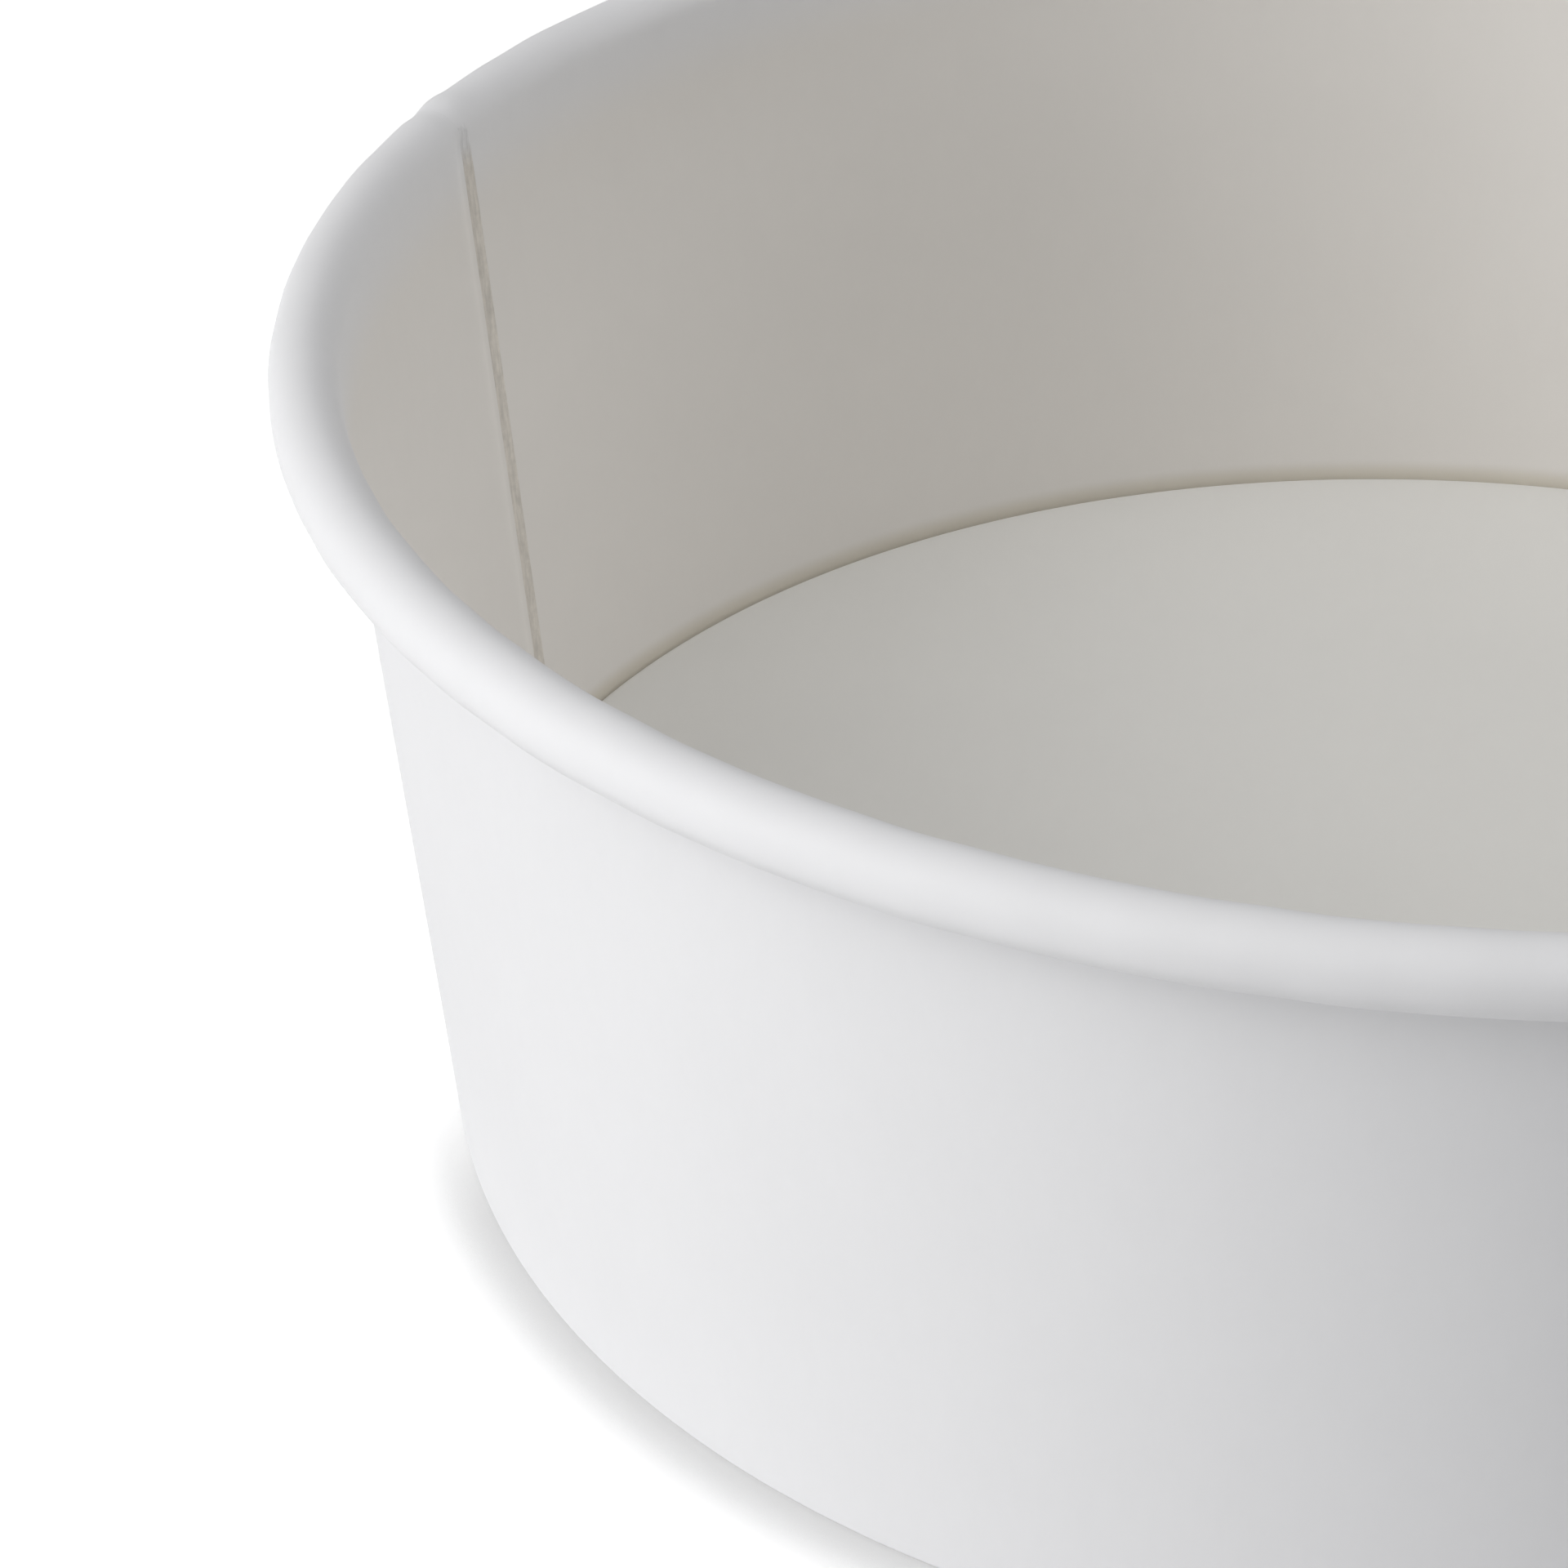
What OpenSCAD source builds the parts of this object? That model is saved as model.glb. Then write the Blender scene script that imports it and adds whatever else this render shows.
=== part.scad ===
// Round paperboard salad bowl, made from two glued pieces.
// The side wall is one fan-shaped blank, rolled to a cone and lapped at a vertical seam.
// Its top edge is curled outwards to the rim, and its bottom edge is folded in and up as a hem.
// The base disc has a turned-down skirt, which is held between the wall and that hem.
// Millimetres. The bowl stands on the plane z = 0, with its axis on Z.

/* [Bowl] */
// Outside diameter over the rolled rim
rim_d = 150; // [142:1:184]
// Height from the table to the top of the rolled rim
bowl_h = 54; // [40:0.5:80]
// Outside diameter of the side wall where it meets the table
base_d = 131; // [90:1:138]

/* [Board] */
// Thickness of the board of the side wall
wall_t = 0.42; // [0.3:0.01:0.5]
// Thickness of the board of the base disc
disc_t = 0.42; // [0.3:0.01:0.5]

/* [Rolled rim] */
// Width of the rolled rim at its underside, from the wall's outer face to the outside
roll_w = 4.15; // [3.6:0.05:4.4]
// Height of the rolled rim, from its underside to its top
roll_h = 4.4; // [4.4:0.05:6]
// Open gap between one turn of the roll and the next
roll_gap = 0.1; // [0.06:0.01:0.2]
// How far the board's end curls on inside the roll, after it has met the wall
tuck_angle = 60; // [20:5:90]

/* [Floor] */
// Height of the floor's upper face above the table
floor_h = 7; // [5:0.1:12]
// Inside radius of the bend from the floor to its skirt
disc_bend_r = 0.3; // [0.2:0.05:0.8]
// Height of the skirt's cut edge above the inside of the hem's fold
skirt_clear = 0.3; // [0.1:0.05:1]
// Drop of the hem's cut edge below the bend of the floor
hem_clear = 0.2; // [0.1:0.05:1]
// Inside radius of the two bends of the hem's fold
hem_bend_r = 0.08; // [0.05:0.01:0.12]
// Thickness of the seal between skirt and wall, and between skirt and hem
seal_gap = 0.02; // [0.01:0.005:0.05]

/* [Lap seam] */
// Direction of the inner layer's cut edge, anticlockwise from +X
seam_angle = 164; // [0:1:359]
// Width over which the two ends of the blank overlap, measured under the rim
lap_w = 7; // [4:0.5:12]
// Width of the slope on which the outer layer leaves the inner layer's cut edge
slope_w = 1.4; // [0.8:0.1:3]
// How far the doubled board stands proud on the outside of the rolled rim
lap_rise = 0.2; // [0.1:0.05:0.4]

/* [Hidden] */

// Sides of the round surfaces, and the angle from one point of a bend to the next
round_fn = 240;
bend_angle = 10;
// How deep an added layer reaches into the one that carries it
bond = 0.15;
// Small step by which the doubled board's shapes stay clear of each other's edges
ease = 0.03;

// Slant of the wall, and the direction square to its outer face
rim_r = rim_d / 2;
base_r = base_d / 2;
roll_z = bowl_h - roll_h;
wall_slope = (rim_r - roll_w - base_r) / roll_z;
wall_angle = atan(wall_slope);
out_dir = [cos(wall_angle), -sin(wall_angle)];
// The same direction as an angle, seen from a bend that opens towards the wall
in_angle = 180 - wall_angle;

// Top arc of the roll: it leaves the wall's inner face and reaches the rim's outside
top_r = (rim_r - wall_point(wall_t, bowl_h)[0]) * cos(wall_angle)
    / (1 + cos(wall_angle) - sin(wall_angle));
top_c = [rim_r - top_r, bowl_h - top_r];
// Bottom arc of the roll: it turns from the rim's outside back up along the wall
low_r = (roll_w * cos(wall_angle) - roll_gap) / (1 + cos(wall_angle) + sin(wall_angle));
low_c = [rim_r - low_r, roll_z + low_r];
// Last arc: it follows the inside of the top arc
tuck_r = top_r - wall_t - roll_gap;

// Hem: two bends with a narrow flat between them, on which the bowl stands
hem_w = 2 * wall_t + disc_t + 2 * seal_gap;
hem_r = hem_bend_r + wall_t;

// Base disc: the bend from the floor to the skirt, and the skirt between wall and hem
skirt_d = wall_t + seal_gap;
skirt_low = wall_t + skirt_clear;
disc_r = disc_bend_r + disc_t;
disc_c = wall_point(skirt_d + disc_r, floor_h - disc_r);
hem_top = disc_c[1] - hem_clear;

// Turn of the overlap round the bowl
lap_angle = lap_w / wall_r(roll_z) * 180 / PI;
// The slope's line runs on past its width, until it is that deep in the board
slope_reach = slope_w * (1 + bond / wall_t);
// Outside, the slope's start lies half a board deep in the doubled board
slope_start = -1.5 * wall_t;
// Its top ends inside the roll, clear of the height at which the second layer's wall ends
slope_top = low_c[1] - low_r / 4;

// Radius of the wall's outer face at height z, and a point at depth d behind that face
function wall_r(z) = base_r + wall_slope * z;
function wall_point(d, z) = [wall_r(z) - d / cos(wall_angle), z];

// Points of an arc about centre c, from angle a to angle b
function arc(c, r, a, b) =
    let (steps = ceil(abs(b - a) / bend_angle))
    [for (i = [0:steps]) let (turn = a + (b - a) * i / steps) c + r * [cos(turn), sin(turn)]];

function reversed(points) = [for (i = [len(points) - 1:-1:0]) points[i]];

// Folded board in section: the space between its two faces, where face(k) lies at depth k
module board(front, back) polygon(concat(front, reversed(back)));

// Hem and fold from the hem's cut edge to the foot of the wall, at depth k below the food
// side. spread moves both sides of the hem apart, each by that much.
function hem_face(k, spread = 0) = concat(
    [wall_point(hem_w - wall_t + k + spread, hem_top)],
    arc(wall_point(hem_w - hem_r + spread, hem_r), hem_bend_r + k, in_angle, 270),
    arc(wall_point(hem_r - spread, hem_r), hem_bend_r + k, 270, 360 - wall_angle));

// Rolled rim, from the wall's top over the outside and back up to the wall, at depth k.
// push moves its outside outwards by twice that much and leaves the wall's side in place.
function roll_face(k, push = 0) = concat(
    arc(top_c + [push, 0], top_r + push - k, in_angle, 90),
    arc(top_c + [push, 0], top_r + push - k, 90, 0),
    arc(low_c + [push, 0], low_r + push - k, 360, 270),
    arc(low_c + [push, 0], low_r + push - k, 270, in_angle));

// Side wall from the hem's cut edge to the tucked edge, at depth k below the food side
function wall_face(k) = concat(hem_face(k), roll_face(k),
    arc(top_c, tuck_r - k, in_angle, in_angle - tuck_angle));

// Base disc from its centre to the skirt's cut edge, at depth k below the food side
function disc_face(k) = concat(
    [[0, floor_h - k]],
    arc(disc_c, disc_r - k, 90, -wall_angle),
    [wall_point(skirt_d + k, skirt_low)]);

// Second layer of the lap: on both sides of the hem, outside the wall and round the roll
module lap_section() {
    board(concat(hem_face(wall_t, wall_t), [wall_point(-wall_t, low_c[1])]),
        concat(hem_face(wall_t - bond), [wall_point(bond, low_c[1])]));
    board(roll_face(ease, (lap_rise + ease) / 2), roll_face(bond));
}

// Bar along the slant of the seam, from height a to height b. Its outline's points are
// [along the wall, inwards], measured from the food side at the inner layer's cut edge.
module seam_bar(outline, a, b)
    rotate([0, 0, seam_angle])
        translate([wall_point(wall_t, a)[0], 0, a])
            rotate([0, wall_angle, 0])
                linear_extrude(height = (b - a) / cos(wall_angle))
                    polygon([for (p = outline) [-p[1], p[0]]]);

// Outside the wall, beyond the cut edge, the outer layer slopes back to the wall
module lap_slope()
    seam_bar([[-bond, bond - wall_t], [-bond, slope_start], [0, ease - 2 * wall_t],
        [slope_reach, bond - wall_t]], hem_r, slope_top);

// Inside the bowl, the slope leaves a groove beside the cut edge
module lap_groove()
    seam_bar([[0, bond], [0, -wall_t], [slope_reach, bond]], disc_c[1], top_c[1]);

module side_wall()
    color([0.925, 0.927, 0.93])
        difference() {
            union() {
                rotate_extrude($fn = round_fn) board(wall_face(0), wall_face(wall_t));
                rotate([0, 0, seam_angle - lap_angle])
                    rotate_extrude(angle = lap_angle, $fn = round_fn) lap_section();
                lap_slope();
            }
            lap_groove();
        }

module base_disc()
    color([0.9, 0.89, 0.87])
        rotate_extrude($fn = round_fn) board(disc_face(0), disc_face(disc_t));

side_wall();
base_disc();
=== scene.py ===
"""White paperboard salad bowl in a plain pale studio.

The bowl is made of two folded and glued pieces of board. The side wall is one sheet, worked
out as a surface of two parameters: the way along its folded section, and the way round the
bowl, past a full turn where its two ends overlap. The base disc is a turned profile.
"""

import math

import bpy
import numpy as np
from mathutils import Matrix, Vector


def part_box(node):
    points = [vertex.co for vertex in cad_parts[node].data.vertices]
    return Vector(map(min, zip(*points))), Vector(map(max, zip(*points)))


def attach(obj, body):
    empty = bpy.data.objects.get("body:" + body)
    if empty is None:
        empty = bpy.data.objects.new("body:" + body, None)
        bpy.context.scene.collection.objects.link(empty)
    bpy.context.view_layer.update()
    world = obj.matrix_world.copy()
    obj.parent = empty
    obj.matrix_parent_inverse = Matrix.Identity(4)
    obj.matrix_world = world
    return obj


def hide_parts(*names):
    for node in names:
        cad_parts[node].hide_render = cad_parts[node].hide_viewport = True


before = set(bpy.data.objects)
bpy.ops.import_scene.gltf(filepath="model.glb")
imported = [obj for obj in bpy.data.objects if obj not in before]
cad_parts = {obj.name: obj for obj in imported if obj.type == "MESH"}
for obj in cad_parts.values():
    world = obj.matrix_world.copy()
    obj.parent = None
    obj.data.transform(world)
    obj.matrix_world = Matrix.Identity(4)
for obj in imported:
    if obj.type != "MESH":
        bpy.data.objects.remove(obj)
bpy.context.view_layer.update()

bl_info = {
    "name": "Paperboard Salad Bowl",
    "version": (1, 0, 0),
    "blender": (4, 5, 0),
    "location": "3D View > Sidebar > Bowl",
    "description": "Round board bowl with a rolled rim, a lapped seam and a folded foot",
    "category": "Mesh",
}

FLOOR_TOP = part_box("base_disc")[1].z
PHOTO_SIDE = 1920
SENSOR_MM = 36.0
CLIP_START = 0.01
MM = 0.001
QUARTER = 0.5 * math.pi
FULL = 2.0 * math.pi

# Points on each stretch of the wall's section, from the hem to the tucked edge, and how much
# closer those of the straight wall lie towards the roll
HEM_POINTS, FOLD_POINTS, WALL_POINTS, TOP_POINTS, LOW_POINTS, TUCK_POINTS = 3, 7, 32, 20, 18, 8
WALL_BUNCH = 1.8
# Columns round the wall: over the inner layer, over the plain wall, up to the slope, over the
# slope, and over the outer layer
WALL_COLUMNS = (24, 400, 6, 16, 16)
# Rings of the floor, points of its bend and of its skirt, and columns round the disc
FLOOR_RINGS, BEND_POINTS, SKIRT_POINTS, DISC_COLUMNS = 26, 12, 3, 360
TABLE_SIDES = 96
SHARP_ANGLE = math.radians(40)

# Share of a board's thickness that the pressed step at the seam keeps, and the share of the
# step that is left in the roll
PRESSED, ROLL_STEP = 0.67, 0.2
# Share of the cut edge's slant that lies on the inner layer's side of the seam, and the rows
# of the roll in which the edge still shows raw fibre
CUT_INWARD, RAW_ROWS = 0.35, 3
# Heights between which the inner layer comes down on the outer one, above the foot
LIFT_FADE = (0.5 * MM, 4.0 * MM)
# Bump over the rim: the length of roll on which it grows, and in degrees past the inner cut
# edge where it rises, where it falls by the share BUMP_DROP, and where the rest runs out
BUMP_GROW, BUMP_DROP = 1.5 * MM, 0.9
BUMP_RISE, BUMP_FALL, BUMP_END = (-0.1, 1.3), (1.3, 2.8), (3.0, 5.6)
# Waves of the rim: how many round the bowl, phase and share
RIM_WAVES = ((2, 0.6, 0.4), (5, -0.9, 0.25), (9, 0.6, 0.35))
# Waves of the roll: how many round the bowl, lean over a stretch of the roll, phase and share
ROLL_WAVES = ((37, 0.7, 0.0, 0.4), (58, -1.1, 1.0, 0.35), (83, 0.5, 2.0, 0.25))
LEAN_STRETCH = 2.0 * MM
# Lengths along the board over which its colour changes: above the floor's joint, where the glue's
# tan tint and the painted shade of the crease give way to the wall's colour, and before the roll
# on the food side and on the cut edge
SHADED_JOINT_FADE = (0.1 * MM, 1.5 * MM)
ROLL_FADE, EDGE_FADE = 6 * MM, 2.2 * MM

# Patterns of the board, in waves to the metre
PULP_CLOUDS, PULP_FIBRES, PULP_GRAIN = 70, 900, 2600
FILM_CLOUDS, FILM_FIBRES, FILM_WAVES = 55, 800, 160
EDGE_LAYERS, EDGE_TUFTS = 4200, 1500
# Share of noise values that the patterns use, and the direction in which fibres are drawn out
NOISE_LOW, NOISE_HIGH = 0.3, 0.7
PULP_STRETCH, FILM_STRETCH, EDGE_STRETCH = (1.0, 0.35, 1.0), (1.0, 0.4, 1.0), (1.0, 1.0, 0.08)
# Roughness from the smoothest to the roughest places, and how strongly each side mirrors
MATT, SATIN, RAW = (0.62, 0.72), (0.5, 0.58), (0.82, 0.95)
OUTSIDE_GLOSS, FOOD_GLOSS, EDGE_GLOSS = 0.12, 0.13, 0.2


def length(name, description, default):
    """A length in metres, shown in the scene's unit."""
    return bpy.props.FloatProperty(
        name=name, description=description, default=default, min=0.0,
        precision=5, unit="LENGTH", subtype="DISTANCE")


def colour(name, description, default):
    """A linear colour."""
    return bpy.props.FloatVectorProperty(
        name=name, description=description, default=default, size=3,
        min=0.0, max=1.0, subtype="COLOR")


def angle(name, description, default):
    """An angle, kept in radians and given here in degrees."""
    return bpy.props.FloatProperty(
        name=name, description=description, default=math.radians(default),
        unit="ROTATION", subtype="ANGLE")


class BowlSizes(bpy.types.PropertyGroup):
    """Sizes of the bowl's two pieces of board."""

    rim_diameter: length("Rim diameter", "Outside diameter over the rolled rim", 150 * MM)
    bowl_height: length("Height", "From the table to the top of the rolled rim", 54 * MM)
    foot_diameter: length("Foot diameter", "Outside diameter of the wall at the table", 131 * MM)
    board: length("Board", "Thickness of the board of both pieces", 0.42 * MM)
    roll_width: length("Roll width", "From the wall's outer face to the rim's outside", 4.15 * MM)
    roll_height: length("Roll height", "From the roll's underside to its top", 4.4 * MM)
    roll_gap: length("Roll gap", "Between one turn of the roll and the next", 0.1 * MM)
    tuck: angle("Tuck", "How far the board's end curls on inside the roll", 60)
    floor_height: length("Floor height", "Upper face of the floor, above the table", FLOOR_TOP)
    floor_bend: length("Floor bend", "Inside radius of the bend from floor to skirt", 0.1 * MM)
    floor_sag: length("Floor sag", "Drop of the floor's middle below its edge", 0.15 * MM)
    hem_bend: length("Hem bend", "Inside radius of the bends at the foot", 0.08 * MM)
    hem_clear: length("Hem clearance", "Drop of the hem's edge below the floor's bend", 0.2 * MM)
    skirt_clear: length("Skirt clearance", "Skirt's edge above the inside of the fold", 0.3 * MM)
    seal: length("Seal", "Gap between the skirt and the board beside it", 0.02 * MM)
    seam: angle("Seam", "Direction of the inner layer's cut edge, from +X", 164)
    lap: length("Lap", "Width over which the ends of the blank overlap", 7 * MM)
    slope: length("Slope", "Width on which the outer layer leaves the cut edge", 1.4 * MM)
    edge_lean: length("Edge lean", "Width of the slant of the pressed cut edge", 0.85 * MM)
    seam_fade: length("Seam fade", "Length of board on which the seam's step shrinks", 1.2 * MM)
    rim_bump: length("Rim bump", "How far the lap stands proud on the rolled rim", 0.165 * MM)
    out_of_round: length("Out of round", "Largest wander of the rim from a circle", 0.08 * MM)
    unevenness: length("Unevenness", "Height of the small waves along the roll", 0.035 * MM)


class BowlColours(bpy.types.PropertyGroup):
    """Colours of the board and of the stage."""

    outside: colour("Outside", "Uncoated outer side of the board", (0.84, 0.84, 0.852))
    wall_inside: colour("Wall inside", "Coated side of the wall", (0.845, 0.82, 0.787))
    rim: colour("Rim", "Coated side where it is stretched over the roll", (0.84, 0.84, 0.852))
    floor_inside: colour("Floor inside", "Coated side of the base disc", (0.835, 0.829, 0.803))
    # Joint band: the glue's tan tint with painted shade of the crease between wall and floor
    shaded_glue_joint: colour("Joint", "Band of the wall beside the floor's edge", (0.72, 0.68, 0.6))
    cut_edge: colour("Cut edge", "Raw fibre of a cut edge", (0.8, 0.76, 0.7))
    table: colour("Table", "Surface under the bowl", (0.8, 0.8, 0.8))


class BowlStudio(bpy.types.PropertyGroup):
    """Lights, table and camera, at the photograph's viewing angle."""

    key: bpy.props.FloatProperty(
        name="Key", description="Strength of the tall light on the left", default=1.0)
    fill: bpy.props.FloatProperty(
        name="Fill", description="Strength of the weak lights on the right", default=1.0)
    sky: bpy.props.FloatProperty(
        name="Sky", description="Strength of the even light from all round", default=0.025)
    lamp_side: length("Lamp side", "Side of each square lamp", 0.7)
    lamp_distance: length("Lamp distance", "From the bowl to each lamp", 1.1)
    table_width: length("Table width", "Across the round table, within the lamps' light", 0.96)
    table_glow: bpy.props.FloatProperty(
        name="Table glow", description="Light added to what is seen of the table", default=0.56)
    # Reach and side of the painted contact shadow on the table round the foot
    contact_reach: length("Contact reach", "Reach of the dark edge round the foot", 6.2 * MM)
    contact_side: angle("Contact side", "Side on which that edge is dark, from +X", -60)
    camera_back: length("Camera back", "Camera's distance from the axis, towards -Y", 294.91 * MM)
    camera_up: length("Camera up", "Camera's height above the table", 195.25 * MM)
    pitch: angle("Pitch", "Camera's tilt below the horizon", 31.045)
    yaw: angle("Yaw", "Camera's turn from +Y towards +X", -8.5325)
    roll: angle("Roll", "Camera's turn about its own view", -0.582)
    focal_px: bpy.props.FloatProperty(
        name="Focal length", description="In pixels of the photograph", default=6464.5)


def smooth(low, high, x):
    """Smooth step: 0 below low, 1 above high, and 3t^2 - 2t^3 between them."""
    t = np.clip((x - low) / (high - low), 0.0, 1.0)
    return t * t * (3.0 - 2.0 * t)


def arc(centre, radius, start, end, count):
    """Points of an arc: centre plus radius times (cosine, sine) of an even run of angles.
    Returns the points and the directions from the centre to them."""
    turn = np.linspace(start, end, count)
    direction = np.stack((np.cos(turn), np.sin(turn)), axis=1)
    return np.asarray(centre) + radius * direction, direction


def between(start, end, count, bunch=1.0):
    """Points inside a straight stretch, ends left out: the two ends blended in shares that
    run evenly from 0 to 1, or closer to the end where bunch is over 1."""
    share = 1.0 - (1.0 - np.linspace(0.0, 1.0, count + 2)[1:-1, None]) ** bunch
    return (1.0 - share) * start + share * end


class Section:
    """Radii, centres and slant of the bowl's section, in metres, worked out from the sizes."""

    def __init__(self, sizes):
        self.t = sizes.board
        self.rim_r = 0.5 * sizes.rim_diameter - sizes.out_of_round - sizes.unevenness
        self.foot_r = 0.5 * sizes.foot_diameter
        self.top = sizes.bowl_height - sizes.unevenness
        self.roll_low = sizes.bowl_height - sizes.roll_height
        self.slope = (self.rim_r - sizes.roll_width - self.foot_r) / self.roll_low
        self.slant = math.atan(self.slope)
        self.out = np.array((math.cos(self.slant), -math.sin(self.slant)))
        self.inward = math.pi - self.slant
        cosine, sine = math.cos(self.slant), math.sin(self.slant)
        width_at_top = self.rim_r - self.at_depth(self.t, self.top)[0]
        self.top_r = width_at_top * cosine / (1.0 + cosine - sine)
        self.top_c = np.array((self.rim_r - self.top_r, self.top - self.top_r))
        self.low_r = (sizes.roll_width * cosine - sizes.roll_gap) / (1.0 + cosine + sine)
        self.low_c = np.array((self.rim_r - self.low_r, self.roll_low + self.low_r))
        self.tuck_r = self.top_r - self.t - sizes.roll_gap
        self.hem_w = 3.0 * self.t + 2.0 * sizes.seal
        self.hem_r = sizes.hem_bend + self.t
        self.bend_r = sizes.floor_bend + self.t
        self.skirt_depth = self.t + sizes.seal
        bend_z = sizes.floor_height - self.bend_r
        self.bend_c = self.at_depth(self.skirt_depth + self.bend_r, bend_z)
        self.hem_top = bend_z - sizes.hem_clear
        self.skirt_low = self.t + sizes.skirt_clear
        self.lap_turn = sizes.lap / self.wall_r(self.roll_low)
        self.slope_turn = sizes.slope / self.wall_r(self.roll_low)

    def wall_r(self, z):
        """Radius of the wall's outer face at height z: the foot's radius plus slope times z."""
        return self.foot_r + self.slope * z

    def at_depth(self, depth, z):
        """Point at height z, at that depth behind the wall's outer face."""
        return np.array((self.wall_r(z) - depth / math.cos(self.slant), z))


def wall_path(sizes, sec):
    """Food side of the wall's board in section, from the hem's cut edge to the tucked edge.

    It runs down the hem, round two bends at the foot, up the slanted wall, over the top of the
    roll, down its outside, back under, and up along the wall to a last arc inside the roll.
    Returns the points, the directions square to the board on that side, and the row where
    the roll starts.
    """
    hem_start = sec.at_depth(sec.hem_w - sec.t, sec.hem_top)
    bend_in, dir_in = arc(
        sec.at_depth(sec.hem_w - sec.hem_r, sec.hem_r), sizes.hem_bend,
        sec.inward, 3 * QUARTER, FOLD_POINTS)
    bend_out, dir_out = arc(
        sec.at_depth(sec.hem_r, sec.hem_r), sizes.hem_bend,
        3 * QUARTER, FULL - sec.slant, FOLD_POINTS)
    top, dir_top = arc(sec.top_c, sec.top_r, sec.inward, 0.0, TOP_POINTS)
    low, dir_low = arc(sec.low_c, sec.low_r, FULL, sec.inward, LOW_POINTS)
    tuck, dir_tuck = arc(
        sec.top_c, sec.tuck_r, sec.inward, sec.inward - sizes.tuck, TUCK_POINTS)
    hem = np.vstack((hem_start[None], between(hem_start, bend_in[0], HEM_POINTS)))
    wall = between(bend_out[-1], top[0], WALL_POINTS, WALL_BUNCH)
    points = np.vstack((hem, bend_in, bend_out, wall, top, low, tuck))
    facing = np.vstack((
        np.tile(sec.out, (len(hem), 1)), -dir_in, -dir_out,
        np.tile(-sec.out, (len(wall), 1)), dir_top, dir_low, dir_tuck))
    roll_row = len(hem) + len(bend_in) + len(bend_out) + len(wall)
    return points, facing, roll_row


def wall_turns(sec):
    """Turn round the bowl from the inner cut edge, in radians: even steps over the plain
    wall, and closer ones where the blank's ends overlap and where the slope leaves the edge."""
    past_lap, before_slope, on_slope = (
        1.6 * sec.lap_turn, 3.0 * sec.slope_turn, 1.4 * sec.slope_turn)
    marks = (0.0, past_lap, FULL - before_slope, FULL - on_slope, FULL, FULL + sec.lap_turn)
    runs = [np.linspace(a, b, n, endpoint=False)
            for a, b, n in zip(marks, marks[1:], WALL_COLUMNS)]
    return np.concatenate(runs + [np.array((marks[-1],))])


def wander(azimuth):
    """Slow wander of the rim from a true circle: three waves round the bowl, between -1 and 1."""
    return sum(share * np.cos(count * azimuth + phase) for count, phase, share in RIM_WAVES)


def ripple(azimuth, run):
    """Small waves along the roll, between -1 and 1: three sines whose crests lean to one side
    or the other as they run over the roll."""
    over = run / LEAN_STRETCH
    return sum(share * np.sin(count * azimuth + lean * over + phase)
               for count, lean, phase, share in ROLL_WAVES)


def wall_sheet(sizes):
    """The wall's two faces as grids of (row along the section, column round the bowl, xyz).

    The food side follows the section. Where the ends overlap, the outer layer lies deeper than
    the inner one by the inner one's thickness, and slopes back to the section beyond the cut
    edge. The step is pressed to two thirds of a board, and shrinks to a fifth in the roll,
    where both layers are pushed outwards into a small bump. At the foot the outer layer lies
    outside and the inner one is lifted by one board. The other face lies one board deeper.
    """
    sec = Section(sizes)
    points, facing, roll_row = wall_path(sizes, sec)
    turns = wall_turns(sec)
    azimuth = sizes.seam - turns
    lean = sizes.edge_lean / sec.wall_r(sec.roll_low)

    run = along(points)
    roll_start = run[roll_row]
    in_roll = smooth(roll_start - sizes.seam_fade, roll_start + sizes.seam_fade, run)[:, None]
    at_foot = (1.0 - smooth(*LIFT_FADE, points[:, 1]))[:, None]
    outer = smooth(FULL - sec.slope_turn - lean, FULL - lean, turns)[None]
    inner = 1.0 - smooth(sec.lap_turn, sec.lap_turn + 2.0 * sec.slope_turn, turns)[None]
    at_edge = 1.0 - smooth(0.0, sec.slope_turn, np.minimum(turns, FULL))[None]

    step = sec.t * (1.0 - (1.0 - ROLL_STEP) * in_roll)
    pressed_step = np.minimum(step, PRESSED * sec.t)
    pressed = step - (step - pressed_step) * np.maximum(at_edge, outer)
    board = np.where(inner > 0.0, pressed * inner + sec.t * (1.0 - inner), sec.t)
    deeper = outer * pressed_step
    back_r, back_z = -facing[:, :1], -facing[:, 1:]
    step_r = in_roll * back_r + (1.0 - in_roll) * back_r / math.cos(sec.slant)
    step_z = in_roll * back_z

    past_edge = np.degrees(np.where(turns < math.pi, turns, turns - FULL))[None]
    bump = sizes.rim_bump * smooth(*BUMP_RISE, past_edge)
    bump = bump * (1.0 - BUMP_DROP * smooth(*BUMP_FALL, past_edge))
    bump = bump * (1.0 - smooth(*BUMP_END, past_edge))
    push = 0.5 * bump * smooth(roll_start, roll_start + BUMP_GROW, run)[:, None]
    round_wander = sizes.out_of_round * wander(azimuth)[None]
    height_share = smooth(0.0, sec.top, points[:, 1])[:, None]

    uneven = sizes.unevenness * ripple(azimuth[None], run[:, None]) * in_roll

    food_r = points[:, :1] + deeper * step_r + push * (1.0 + facing[:, :1])
    food_r = food_r + round_wander * height_share + uneven * facing[:, :1]
    food_z = points[:, 1:] + deeper * step_z + (push + uneven) * facing[:, 1:]
    food_z = food_z + sec.t * inner * at_foot
    far_r = food_r + board * back_r
    far_z = food_z + board * back_z
    at_cut = turns == 0.0
    food_azimuth = azimuth - CUT_INWARD * lean * at_cut
    far_azimuth = azimuth + (1.0 - CUT_INWARD) * lean * at_cut
    food = turned(food_r, food_z, food_azimuth)
    far = turned(far_r, far_z, far_azimuth)
    return food, far, points, turns, roll_row


def turned(radius, height, azimuth):
    """Grid of points at (radius cos azimuth, radius sin azimuth, height)."""
    return np.stack((radius * np.cos(azimuth), radius * np.sin(azimuth), height), axis=2)


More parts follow.
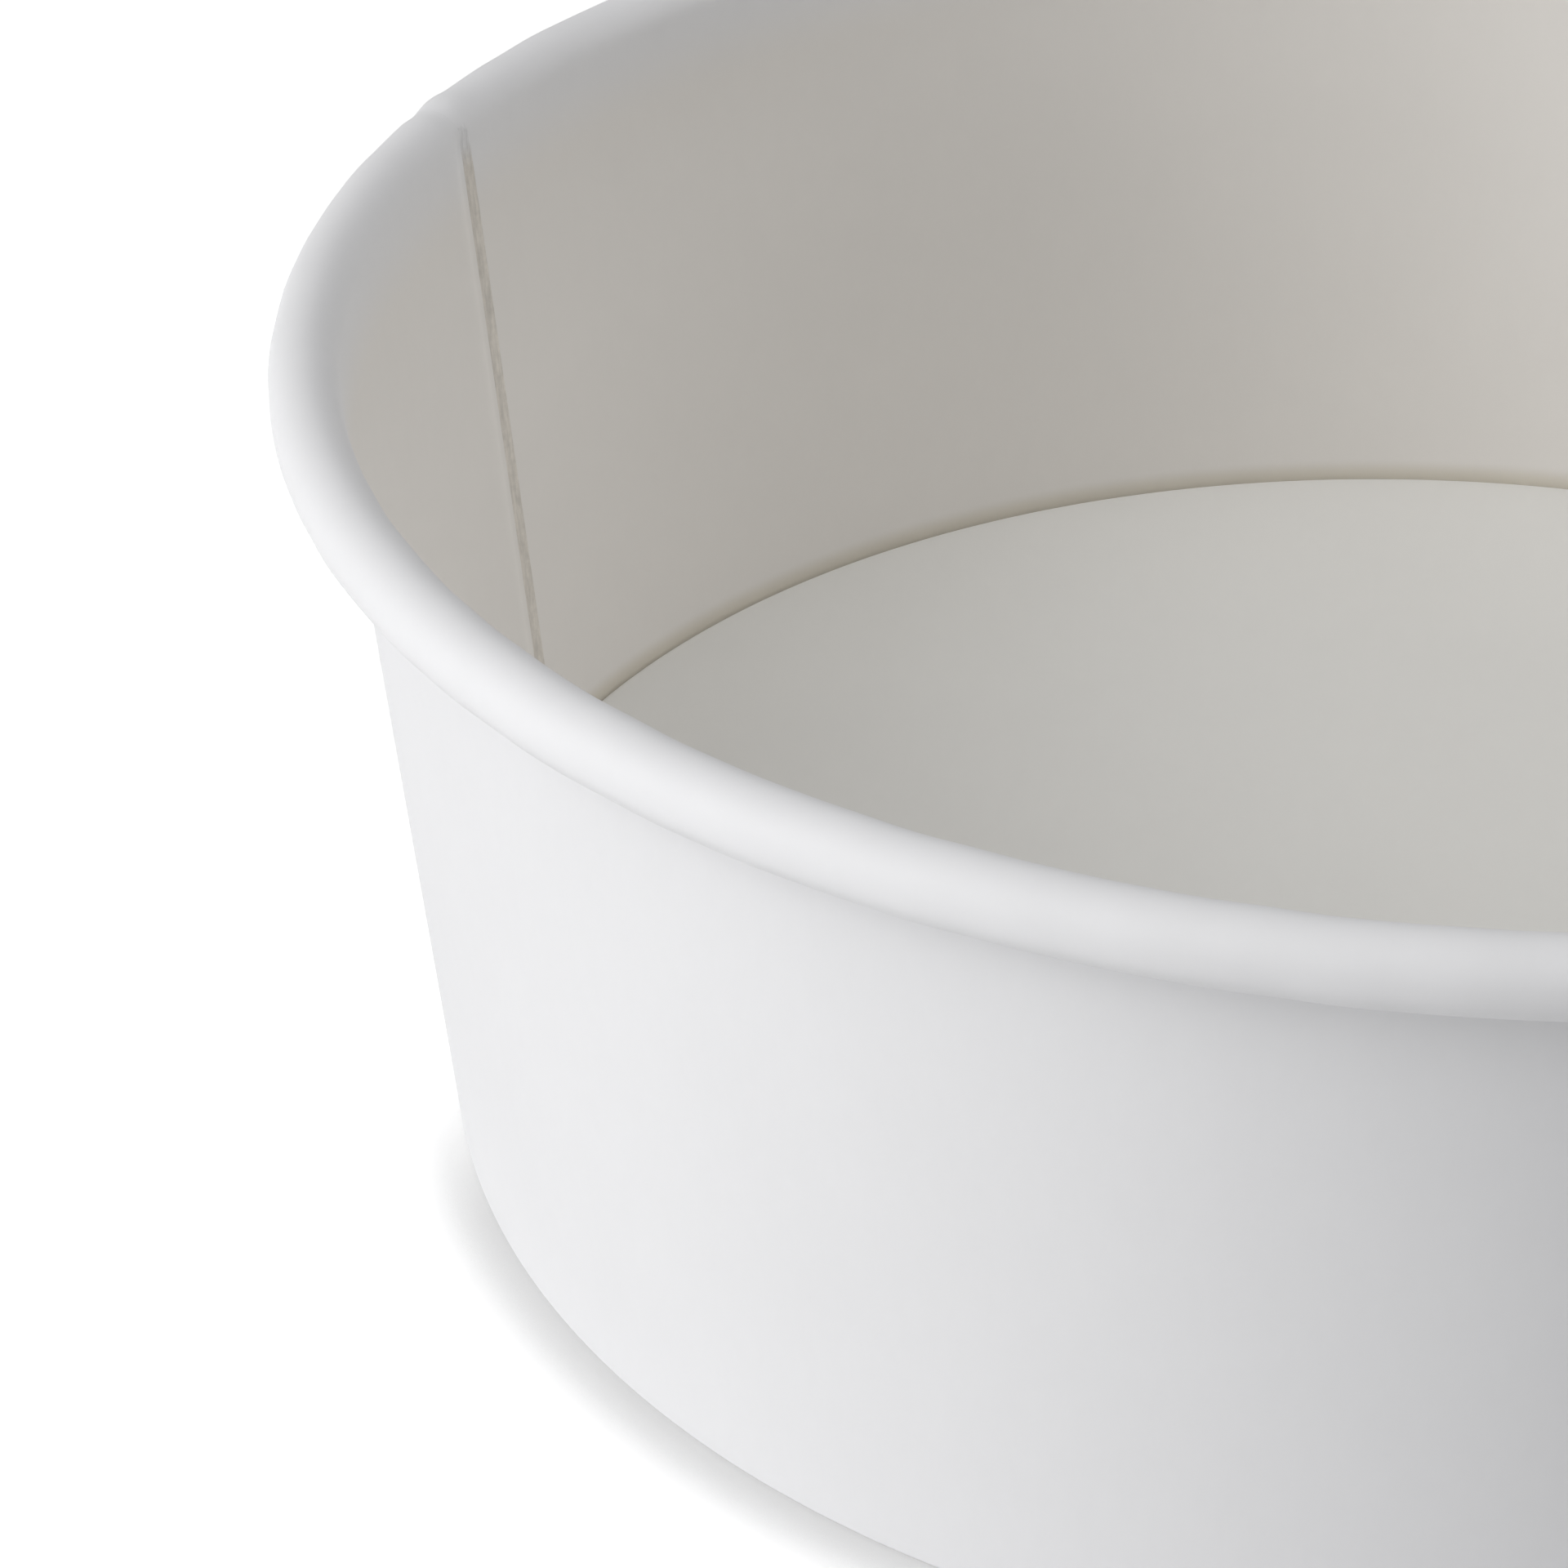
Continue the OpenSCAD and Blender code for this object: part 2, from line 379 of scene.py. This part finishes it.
def grid_quads(first, rows, columns, flip=False):
    """Quads of a grid whose corner numbers start at first and run row by row."""
    row, column = np.meshgrid(np.arange(rows - 1), np.arange(columns - 1), indexing="ij")
    a = first + row * columns + column
    quads = np.stack((a, a + 1, a + columns + 1, a + columns), axis=2).reshape(-1, 4)
    return quads[:, ::-1] if flip else quads


def edge_quads(one, other):
    """Quads that join two equal runs of corner numbers, along a cut edge."""
    return np.stack((one[:-1], one[1:], other[1:], other[:-1]), axis=1)


def mesh_piece(name, corners, faces, kinds, materials, uvs):
    """A smooth mesh object at the origin, with sharp cut edges and one UV map in metres."""
    mesh = bpy.data.meshes.new(name)
    mesh.from_pydata(corners.tolist(), [], faces)
    for material in materials:
        mesh.materials.append(material)
    mesh.polygons.foreach_set("material_index", kinds.astype(np.int32))
    mesh.polygons.foreach_set("use_smooth", np.ones(len(faces), bool))
    layer = mesh.uv_layers.new(name="board")
    loops = np.zeros(len(mesh.loops), np.int32)
    mesh.loops.foreach_get("vertex_index", loops)
    layer.data.foreach_set("uv", uvs[loops].astype(np.float32).ravel())
    mesh.set_sharp_from_angle(angle=SHARP_ANGLE)
    mesh.validate()
    mesh.update()
    piece = bpy.data.objects.new(name, mesh)
    bpy.context.scene.collection.objects.link(piece)
    return piece


def along(points):
    """Length along a line of points, from its first one."""
    steps = np.hypot(*np.diff(points, axis=0).T)
    return np.concatenate(((0.0,), np.cumsum(steps)))


def disc_profile(sizes, sec):
    """Closed section of the base disc: out along the floor, over the bend, down the skirt,
    and back along the underside to the axis. Each face is a straight line and an arc."""
    edge = sec.bend_c[0]
    reach = edge * np.sqrt(np.linspace(0.0, 1.0, FLOOR_RINGS))[:-1]
    floor = np.stack((reach, np.full_like(reach, sizes.floor_height)), axis=1)
    faces = []
    for depth in (0.0, sec.t):
        bend = arc(sec.bend_c, sec.bend_r - depth, QUARTER, -sec.slant, BEND_POINTS)[0]
        skirt_end = sec.at_depth(sec.skirt_depth + depth, sec.skirt_low)
        skirt = between(bend[-1], skirt_end, SKIRT_POINTS)
        level = floor - np.array((0.0, depth))
        faces.append(np.vstack((level, bend, skirt, skirt_end[None])))
    return faces


def noise_bump(tree, height, strength, distance, normal=None):
    """Bump node fed by a height socket."""
    bump = tree.nodes.new("ShaderNodeBump")
    bump.inputs["Strength"].default_value = strength
    bump.inputs["Distance"].default_value = distance
    tree.links.new(height, bump.inputs["Height"])
    if normal is not None:
        tree.links.new(normal, bump.inputs["Normal"])
    return bump.outputs["Normal"]


def noise(tree, vector, scale, detail, roughness=0.5, stretch=(1.0, 1.0, 1.0)):
    """Noise on a vector that is stretched first. scale is in waves to the metre."""
    mapping = tree.nodes.new("ShaderNodeMapping")
    mapping.inputs["Scale"].default_value = stretch
    tree.links.new(vector, mapping.inputs["Vector"])
    texture = tree.nodes.new("ShaderNodeTexNoise")
    texture.inputs["Scale"].default_value = scale
    texture.inputs["Detail"].default_value = detail
    texture.inputs["Roughness"].default_value = roughness
    tree.links.new(mapping.outputs["Vector"], texture.inputs["Vector"])
    return texture.outputs["Fac"]


def spread(tree, value, low, high):
    """Map the noise values that the patterns use to the range from low to high."""
    node = tree.nodes.new("ShaderNodeMapRange")
    node.inputs["From Min"].default_value = NOISE_LOW
    node.inputs["From Max"].default_value = NOISE_HIGH
    node.inputs["To Min"].default_value = low
    node.inputs["To Max"].default_value = high
    tree.links.new(value, node.inputs["Value"])
    return node.outputs["Result"]


def tinted(tree, base, value):
    """Base colour, written or from a socket, times a grey value."""
    node = tree.nodes.new("ShaderNodeVectorMath")
    node.operation = "SCALE"
    if isinstance(base, bpy.types.NodeSocket):
        tree.links.new(base, node.inputs[0])
    else:
        node.inputs[0].default_value = base
    tree.links.new(value, node.inputs["Scale"])
    return node.outputs["Vector"]


def multiplied(tree, one, other):
    """Product of two values."""
    node = tree.nodes.new("ShaderNodeMath")
    node.operation = "MULTIPLY"
    tree.links.new(one, node.inputs[0])
    tree.links.new(other, node.inputs[1])
    return node.outputs["Value"]


def new_material(name):
    """Empty node material with its shader, its Object coordinates and its board coordinates."""
    material = bpy.data.materials.new(name)
    material.use_nodes = True
    tree = material.node_tree
    shader = tree.nodes["Principled BSDF"]
    where = tree.nodes.new("ShaderNodeTexCoord").outputs["Object"]
    board = tree.nodes.new("ShaderNodeUVMap")
    board.uv_map = "board"
    return material, tree, shader, where, board.outputs["UV"]


def outside_board(colours):
    """Uncoated outer side: matt, with the cloudy look of pressed pulp and a fine fibre grain."""
    material, tree, shader, where, board = new_material("outside_board")
    clouds = noise(tree, where, PULP_CLOUDS, 3)
    fibres = noise(tree, board, PULP_FIBRES, 4, 0.6, PULP_STRETCH)
    grain = noise(tree, where, PULP_GRAIN, 2)
    shade = multiplied(
        tree, spread(tree, clouds, 0.992, 1.006), spread(tree, fibres, 0.994, 1.004))
    tree.links.new(tinted(tree, colours.outside, shade), shader.inputs["Base Color"])
    tree.links.new(spread(tree, fibres, *MATT), shader.inputs["Roughness"])
    normal = noise_bump(tree, fibres, 0.12, 0.02 * MM)
    normal = noise_bump(tree, grain, 0.08, 0.01 * MM, normal)
    tree.links.new(normal, shader.inputs["Normal"])
    shader.inputs["Specular IOR Level"].default_value = OUTSIDE_GLOSS
    return material


def blended(tree, share, one, other):
    """Colour that runs from one to other as share runs from 0 to 1. One may be a socket."""
    node = tree.nodes.new("ShaderNodeMix")
    node.data_type = "VECTOR"
    first, second = node.inputs[4], node.inputs[5]
    if isinstance(one, bpy.types.NodeSocket):
        tree.links.new(one, first)
    else:
        first.default_value = one
    second.default_value = other
    tree.links.new(share, node.inputs[0])
    return node.outputs[1]


def height_on_board(tree, board, low, high):
    """Smooth step of the board's second coordinate, from low to high."""
    split = tree.nodes.new("ShaderNodeSeparateXYZ")
    tree.links.new(board, split.inputs["Vector"])
    node = tree.nodes.new("ShaderNodeMapRange")
    node.interpolation_type = "SMOOTHSTEP"
    node.inputs["From Min"].default_value = low
    node.inputs["From Max"].default_value = high
    tree.links.new(split.outputs["Y"], node.inputs["Value"])
    return node.outputs["Result"]


def food_side_board(*bands):
    """Coated side: a thin smooth film over the fibres, with soft low waves and a satin gloss.

    Its colour is that of the first band, and runs over to each next band's colour between that
    band's two lengths along the board."""
    material, tree, shader, where, board = new_material("food_side_board")
    clouds = noise(tree, where, FILM_CLOUDS, 3)
    fibres = noise(tree, board, FILM_FIBRES, 3, 0.55, FILM_STRETCH)
    waves = noise(tree, where, FILM_WAVES, 2)
    shade = multiplied(
        tree, spread(tree, clouds, 0.99, 1.006), spread(tree, fibres, 0.996, 1.003))
    base = tuple(bands[0])
    for shade_there, start, stop in bands[1:]:
        base = blended(tree, height_on_board(tree, board, start, stop), base, shade_there)
    tree.links.new(tinted(tree, base, shade), shader.inputs["Base Color"])
    tree.links.new(spread(tree, waves, *SATIN), shader.inputs["Roughness"])
    normal = noise_bump(tree, waves, 0.1, 0.05 * MM)
    normal = noise_bump(tree, fibres, 0.08, 0.01 * MM, normal)
    tree.links.new(normal, shader.inputs["Normal"])
    shader.inputs["Specular IOR Level"].default_value = FOOD_GLOSS
    return material


def cut_edge_board(colours, roll_start=None):
    """Raw cut edge: tan fibre in thin layers along the board, rough and without gloss. Where
    the board's roll starts, it is pressed flat and takes the rim's colour."""
    material, tree, shader, where, board = new_material("cut_edge_board")
    layers = noise(tree, where, EDGE_LAYERS, 3, 0.6, EDGE_STRETCH)
    tufts = noise(tree, where, EDGE_TUFTS, 4, 0.65)
    shade = multiplied(
        tree, spread(tree, layers, 0.86, 1.08), spread(tree, tufts, 0.92, 1.05))
    base = tuple(colours.cut_edge)
    if roll_start is not None:
        rolled = height_on_board(tree, board, roll_start - EDGE_FADE, roll_start)
        base = blended(tree, rolled, base, colours.rim)
    tree.links.new(tinted(tree, base, shade), shader.inputs["Base Color"])
    tree.links.new(spread(tree, tufts, *RAW), shader.inputs["Roughness"])
    tree.links.new(noise_bump(tree, layers, 0.5, 0.03 * MM), shader.inputs["Normal"])
    shader.inputs["Specular IOR Level"].default_value = EDGE_GLOSS
    return material


OUTSIDE, FOOD, CUT = 0, 1, 2

# Darkest share of light in the painted contact shadow at the foot, and the stretch, measured
# across the table towards the contact side, over which that painted shadow comes in
CONTACT_DARKEST = 0.55
CONTACT_FADE = (-30 * MM, -2 * MM)


def board_materials(colours, food_side, roll_start=None):
    """Materials of a folded board, in the order of its kinds of face: out, food side, cut."""
    return [outside_board(colours), food_side, cut_edge_board(colours, roll_start)]


class BOWL_OT_side_wall(bpy.types.Operator):
    """Build the side wall: foot hem, slanted wall and rolled rim, lapped at the seam"""

    bl_idname = "bowl.side_wall"
    bl_label = "Side wall"

    def execute(self, context):
        sizes = context.scene.bowl_sizes
        food, far, points, turns, roll_row = wall_sheet(sizes)
        rows, columns = food.shape[:2]
        corners = np.concatenate((food.reshape(-1, 3), far.reshape(-1, 3)))
        number = np.arange(rows * columns).reshape(rows, columns)
        far_number = number + rows * columns
        raw_end = roll_row + RAW_ROWS
        wall, roll = slice(0, raw_end + 1), slice(raw_end, rows)
        parts = (
            (grid_quads(0, rows, columns), FOOD),
            (grid_quads(rows * columns, rows, columns, flip=True), OUTSIDE),
            (edge_quads(far_number[0], number[0]), CUT),
            (edge_quads(number[-1], far_number[-1]), CUT),
            (edge_quads(number[wall, 0], far_number[wall, 0]), CUT),
            (edge_quads(number[roll, 0], far_number[roll, 0]), FOOD),
            (edge_quads(far_number[:, -1], number[:, -1]), CUT),
        )
        faces = np.concatenate([quads for quads, kind in parts])
        kinds = np.concatenate([np.full(len(quads), kind) for quads, kind in parts])
        colours = context.scene.bowl_colours
        run = along(points)
        across, up = np.meshgrid(turns * 0.5 * sizes.foot_diameter, run)
        uvs = np.tile(np.stack((across.ravel(), up.ravel()), axis=1), (2, 1))
        upright = slice(int(np.argmin(points[:roll_row, 1])), roll_row)
        # The food side starts in the joint colour, the glue's tint with painted crease shade, and
        # changes to the wall's colour just above the floor
        shaded_glue_joint = np.interp(sizes.floor_height, points[upright, 1], run[upright])
        food_side = food_side_board(
            colours.shaded_glue_joint,
            (colours.wall_inside, shaded_glue_joint + SHADED_JOINT_FADE[0], shaded_glue_joint + SHADED_JOINT_FADE[1]),
            (colours.rim, run[roll_row] - ROLL_FADE, run[roll_row]))
        piece = mesh_piece(
            "folded_side_wall", corners, faces.tolist(), kinds,
            board_materials(colours, food_side, run[roll_row]), uvs)
        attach(piece, "root")
        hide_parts("side_wall")
        return {"FINISHED"}


class BOWL_OT_base_disc(bpy.types.Operator):
    """Build the base disc: flat floor with a bent edge and a turned-down skirt"""

    bl_idname = "bowl.base_disc"
    bl_label = "Base disc"

    def execute(self, context):
        sizes = context.scene.bowl_sizes
        sec = Section(sizes)
        upper, under = disc_profile(sizes, sec)
        columns = DISC_COLUMNS
        azimuth = np.linspace(0.0, FULL, columns, endpoint=False)
        rings = np.vstack((upper[1:], under[:0:-1]))
        share = np.clip(rings[:, 0] / sec.bend_c[0], 0.0, 1.0)
        sag = sizes.floor_sag * (1.0 - share ** 2)
        heights = np.tile((rings[:, 1] - sag)[:, None], (1, columns))
        body = turned(np.tile(rings[:, :1], (1, columns)), heights, azimuth).reshape(-1, 3)
        middles = [(0.0, 0.0, upper[0, 1] - sizes.floor_sag),
                   (0.0, 0.0, under[0, 1] - sizes.floor_sag)]
        corners = np.concatenate((body, np.array(middles)))
        number = np.arange(len(rings) * columns).reshape(len(rings), columns)
        after = np.roll(number, -1, axis=1)
        quads = np.stack((number[:-1], number[1:], after[1:], after[:-1]), axis=2)
        pole = np.full(columns, len(body))
        fans = (np.stack((pole, number[0], after[0]), axis=1),
                np.stack((pole + 1, after[-1], number[-1]), axis=1))
        faces = quads.reshape(-1, 4).tolist() + fans[0].tolist() + fans[1].tolist()
        last_upper = len(upper) - 2
        kind_of_row = np.full(len(rings) - 1, OUTSIDE)
        kind_of_row[:last_upper] = FOOD
        kind_of_row[last_upper] = CUT
        kinds = np.concatenate((
            np.repeat(kind_of_row, columns), np.full(columns, FOOD), np.full(columns, OUTSIDE)))
        colours = context.scene.bowl_colours
        food_side = food_side_board(colours.floor_inside)
        piece = mesh_piece(
            "folded_base_disc", corners, faces, kinds,
            board_materials(colours, food_side), corners[:, :2])
        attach(piece, "root")
        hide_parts("base_disc")
        return {"FINISHED"}


def camera_only(tree, shown, lighting):
    """Shader that camera, glossy and transmission rays see as shown, and all others as
    lighting."""
    path = tree.nodes.new("ShaderNodeLightPath")
    total = path.outputs["Is Camera Ray"]
    for ray in ("Is Glossy Ray", "Is Transmission Ray"):
        add = tree.nodes.new("ShaderNodeMath")
        add.operation = "ADD"
        add.use_clamp = True
        tree.links.new(total, add.inputs[0])
        tree.links.new(path.outputs[ray], add.inputs[1])
        total = add.outputs["Value"]
    mix = tree.nodes.new("ShaderNodeMixShader")
    tree.links.new(total, mix.inputs[0])
    tree.links.new(lighting, mix.inputs[1])
    tree.links.new(shown, mix.inputs[2])
    return mix.outputs[0]


def foot_shade(tree, studio):
    """Brightness of the table near the foot, from the darkest value to 1: a painted contact
    shadow.
    It follows the openness of each point, and runs out where the table lies behind the foot's
    middle."""
    openness = tree.nodes.new("ShaderNodeAmbientOcclusion")
    openness.samples = 8
    openness.inputs["Distance"].default_value = studio.contact_reach
    limit = tree.nodes.new("ShaderNodeMath")
    limit.operation = "MAXIMUM"
    limit.inputs[1].default_value = CONTACT_DARKEST
    tree.links.new(openness.outputs["AO"], limit.inputs[0])
    side = tree.nodes.new("ShaderNodeVectorMath")
    side.operation = "DOT_PRODUCT"
    side.inputs[1].default_value = (
        math.cos(studio.contact_side), math.sin(studio.contact_side), 0.0)
    where = tree.nodes.new("ShaderNodeTexCoord").outputs["Object"]
    tree.links.new(where, side.inputs[0])
    share = tree.nodes.new("ShaderNodeMapRange")
    share.interpolation_type = "SMOOTHSTEP"
    share.inputs["From Min"].default_value = CONTACT_FADE[0]
    share.inputs["From Max"].default_value = CONTACT_FADE[1]
    tree.links.new(side.outputs["Value"], share.inputs["Value"])
    mix = tree.nodes.new("ShaderNodeMix")
    mix.inputs[2].default_value = 1.0
    tree.links.new(share.outputs["Result"], mix.inputs[0])
    tree.links.new(limit.outputs["Value"], mix.inputs[3])
    return mix.outputs[0]


def table_material(shade, studio):
    """Pale table: white where nothing shades it, with the bowl's shadow. What is seen of it is
    its light and a glow, both darkened near the foot by a painted contact shadow on the side set
    by contact_side."""
    material = bpy.data.materials.new("studio_table")
    material.use_nodes = True
    tree = material.node_tree
    tree.nodes.remove(tree.nodes["Principled BSDF"])
    matt = tree.nodes.new("ShaderNodeBsdfDiffuse")
    matt.inputs["Color"].default_value = (*shade, 1.0)
    contact = foot_shade(tree, studio)
    seen = tree.nodes.new("ShaderNodeBsdfDiffuse")
    tree.links.new(tinted(tree, shade, contact), seen.inputs["Color"])
    strength = tree.nodes.new("ShaderNodeMath")
    strength.operation = "MULTIPLY"
    strength.inputs[1].default_value = studio.table_glow
    tree.links.new(contact, strength.inputs[0])
    light = tree.nodes.new("ShaderNodeEmission")
    tree.links.new(strength.outputs["Value"], light.inputs["Strength"])
    both = tree.nodes.new("ShaderNodeAddShader")
    tree.links.new(seen.outputs[0], both.inputs[0])
    tree.links.new(light.outputs[0], both.inputs[1])
    shader = camera_only(tree, both.outputs[0], matt.outputs[0])
    tree.links.new(shader, tree.nodes["Material Output"].inputs["Surface"])
    return material


def studio_world(strength):
    """White world: full white where it is seen, and an even light of that strength."""
    world = bpy.data.worlds.new("studio_world")
    world.use_nodes = True
    tree = world.node_tree
    lighting = tree.nodes["Background"]
    lighting.inputs["Strength"].default_value = strength
    lighting.inputs["Color"].default_value = (1.0, 1.0, 1.0, 1.0)
    shown = tree.nodes.new("ShaderNodeBackground")
    shown.inputs["Color"].default_value = (1.0, 1.0, 1.0, 1.0)
    shader = camera_only(tree, shown.outputs[0], lighting.outputs[0])
    tree.links.new(shader, tree.nodes["World Output"].inputs["Surface"])
    return world


# Each lamp: name, its share of key or fill, direction round the bowl from +X and height above
# the horizon in degrees, and power in watts
LAMPS = (
    ("key_left_low", "key", -152, 12, 2.27),
    ("key_left_middle", "key", -152, 30, 3.39),
    ("key_front_low", "key", -135, 12, 1.17),
    ("key_front_middle", "key", -135, 30, 1.0),
    ("key_front_high", "key", -135, 50, 3.56),
    ("fill_back", "fill", 20, 30, 3.12),
    ("fill_high", "fill", 0, 60, 1.98),
)
LAMP_AIM = Vector((0.0, 0.0, 0.03))


def soft_lamp(name, azimuth, elevation, distance, side, power):
    """Square area lamp on a sphere round the bowl, aimed at the bowl."""
    turn, rise = math.radians(azimuth), math.radians(elevation)
    place = distance * Vector((
        math.cos(turn) * math.cos(rise), math.sin(turn) * math.cos(rise), math.sin(rise)))
    lamp = bpy.data.lights.new(name, "AREA")
    lamp.shape = "SQUARE"
    lamp.size = side
    lamp.energy = power
    holder = bpy.data.objects.new(name, lamp)
    aim = (LAMP_AIM - place).to_track_quat("-Z", "Y").to_matrix().to_4x4()
    holder.matrix_world = Matrix.Translation(place) @ aim
    bpy.context.scene.collection.objects.link(holder)


def photo_camera(studio):
    """Camera behind -Y, turned by yaw about Z, then tilted by pitch, then rolled."""
    data = bpy.data.cameras.new("photo_camera")
    data.sensor_width = SENSOR_MM
    data.lens = studio.focal_px / PHOTO_SIDE * SENSOR_MM
    data.clip_start = CLIP_START
    camera = bpy.data.objects.new("photo_camera", data)
    turn = (
        Matrix.Rotation(-studio.yaw, 4, "Z")
        @ Matrix.Rotation(QUARTER - studio.pitch, 4, "X")
        @ Matrix.Rotation(studio.roll, 4, "Z"))
    camera.matrix_world = Matrix.Translation((0.0, -studio.camera_back, studio.camera_up)) @ turn
    bpy.context.scene.collection.objects.link(camera)
    return camera


class BOWL_OT_stage(bpy.types.Operator):
    """Build the stage: pale table, white world, soft lamps and the camera"""

    bl_idname = "bowl.stage"
    bl_label = "Stage"

    def execute(self, context):
        scene = context.scene
        studio = scene.bowl_studio
        mesh = bpy.data.meshes.new("table")
        edge = arc((0.0, 0.0), 0.5 * studio.table_width, 0.0, FULL, TABLE_SIDES + 1)[0][:-1]
        mesh.from_pydata([(x, y, 0.0) for x, y in edge.tolist()], [], [range(len(edge))])
        mesh.materials.append(table_material(scene.bowl_colours.table, studio))
        table = bpy.data.objects.new("table", mesh)
        scene.collection.objects.link(table)
        scene.world = studio_world(studio.sky)
        strengths = {"key": studio.key, "fill": studio.fill}
        for name, kind, azimuth, elevation, watts in LAMPS:
            soft_lamp(name, azimuth, elevation, studio.lamp_distance, studio.lamp_side,
                      watts * strengths[kind])
        scene.camera = photo_camera(studio)
        scene.view_settings.view_transform = "Standard"
        return {"FINISHED"}


class BOWL_PT_builder(bpy.types.Panel):
    """Bowl builder"""

    bl_label = "Paperboard bowl"
    bl_space_type = "VIEW_3D"
    bl_region_type = "UI"
    bl_category = "Bowl"

    def draw(self, context):
        scene = context.scene
        for group in (scene.bowl_sizes, scene.bowl_colours, scene.bowl_studio):
            box = self.layout.box()
            for name in group.__annotations__:
                box.prop(group, name)
        for operator in OPERATORS:
            self.layout.operator(operator.bl_idname)


GROUPS = {"bowl_sizes": BowlSizes, "bowl_colours": BowlColours, "bowl_studio": BowlStudio}
OPERATORS = (BOWL_OT_side_wall, BOWL_OT_base_disc, BOWL_OT_stage)


def register():
    for name, group in GROUPS.items():
        bpy.utils.register_class(group)
        setattr(bpy.types.Scene, name, bpy.props.PointerProperty(type=group))
    for operator in OPERATORS:
        bpy.utils.register_class(operator)
    bpy.utils.register_class(BOWL_PT_builder)


def unregister():
    bpy.utils.unregister_class(BOWL_PT_builder)
    for operator in reversed(OPERATORS):
        bpy.utils.unregister_class(operator)
    for name, group in GROUPS.items():
        delattr(bpy.types.Scene, name)
        bpy.utils.unregister_class(group)


def write_sizes():
    """Bring the view layer up to date."""
    bpy.context.view_layer.update()


def main():
    register()
    bpy.ops.bowl.side_wall()
    bpy.ops.bowl.base_disc()
    bpy.ops.bowl.stage()
    write_sizes()


if __name__ == "__main__":
    main()
